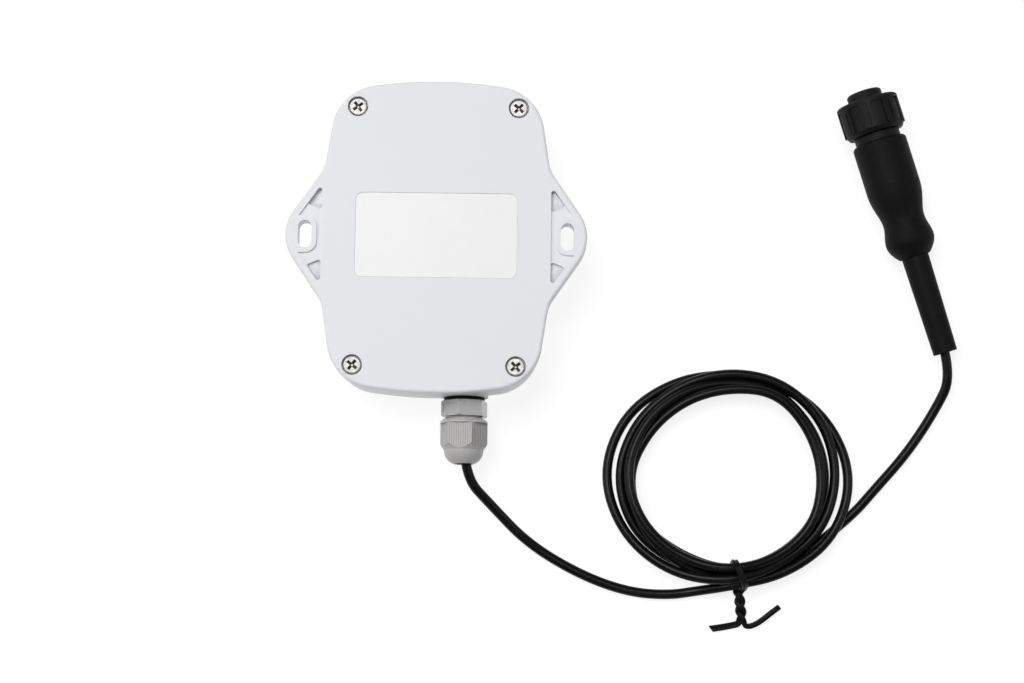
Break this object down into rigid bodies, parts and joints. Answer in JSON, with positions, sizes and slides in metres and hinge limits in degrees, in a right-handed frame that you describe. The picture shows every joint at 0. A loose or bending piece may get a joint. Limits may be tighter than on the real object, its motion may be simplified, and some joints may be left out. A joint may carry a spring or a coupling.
{
  "type": "leak detection sensor",
  "caption": "Wall-mounted leak sensor housing with slotted side ears and a cable gland; its coiled cable ends in a round waterproof plug with a threaded coupling ring.",
  "frame": {"origin": "on the floor under the middle of the housing, which lies on its front face as pictured", "axes": "+X across the two ears, +Y up the housing away from the cable gland, +Z out of the back that goes against the wall"},
  "size_m": [0.2272, 0.1861, 0.0275],
  "materials": {
    "housing_white": "fine spark-eroded satin",
    "label_film": "smooth satin film",
    "gasket_silicone": "matt",
    "screw_steel": "bright",
    "insert_brass": "bright",
    "seal_rubber": "matt",
    "gland_nylon": "semi-gloss",
    "board_laminate": "satin lacquer",
    "shield_can": "satin",
    "battery_sleeve": "shrunk film",
    "wire_insulation": "satin",
    "connector_plastic": "satin",
    "terminal_plastic": "satin",
    "led_lens": "clear",
    "cable_jacket": "satin",
    "tie_plastic": "satin coating on soft wire",
    "plug_plastic": "fine-grained",
    "boot_plastic": "shrunk sleeve, matt"
  },
  "bodies": {
    "sensor": {"back_cover": "housing_white", "front_shell": "housing_white", "cover_gasket": "gasket_silicone", "cover_screws": "screw_steel", "threaded_inserts": "insert_brass", "label_plate": "label_film", "gland_washer": "seal_rubber", "gland_body": "gland_nylon", "gland_nut": "gland_nylon", "gland_seal": "seal_rubber", "gland_locknut": "gland_nylon", "circuit_board": "board_laminate", "board_screws": "screw_steel", "radio_module": "shield_can", "antenna": "insert_brass", "battery_cell": "battery_sleeve", "battery_lead": "wire_insulation", "battery_plug": "connector_plastic", "terminal_block": "terminal_plastic", "terminal_screws": "screw_steel", "core_wires": "wire_insulation", "status_led": "led_lens", "cable_inlet": "cable_jacket", "cable_lead": "cable_jacket", "cable_coil": "cable_jacket", "cable_tail": "cable_jacket", "twist_tie": "tie_plastic", "plug_body": "plug_plastic", "contact_sockets": "insert_brass", "plug_o_ring": "seal_rubber", "heat_shrink_boot": "boot_plastic", "strain_sleeve": "boot_plastic"},
    "ring": {"coupling_ring": "plug_plastic"}
  },
  "joints": [
    {"name": "ring_turn", "type": "hinge", "parent": "sensor", "child": "ring", "pos_m": [0.14803, 0.04638, 0.01112], "axis": [-0.2953, 0.954, 0.0523], "continuous": true}
  ]
}
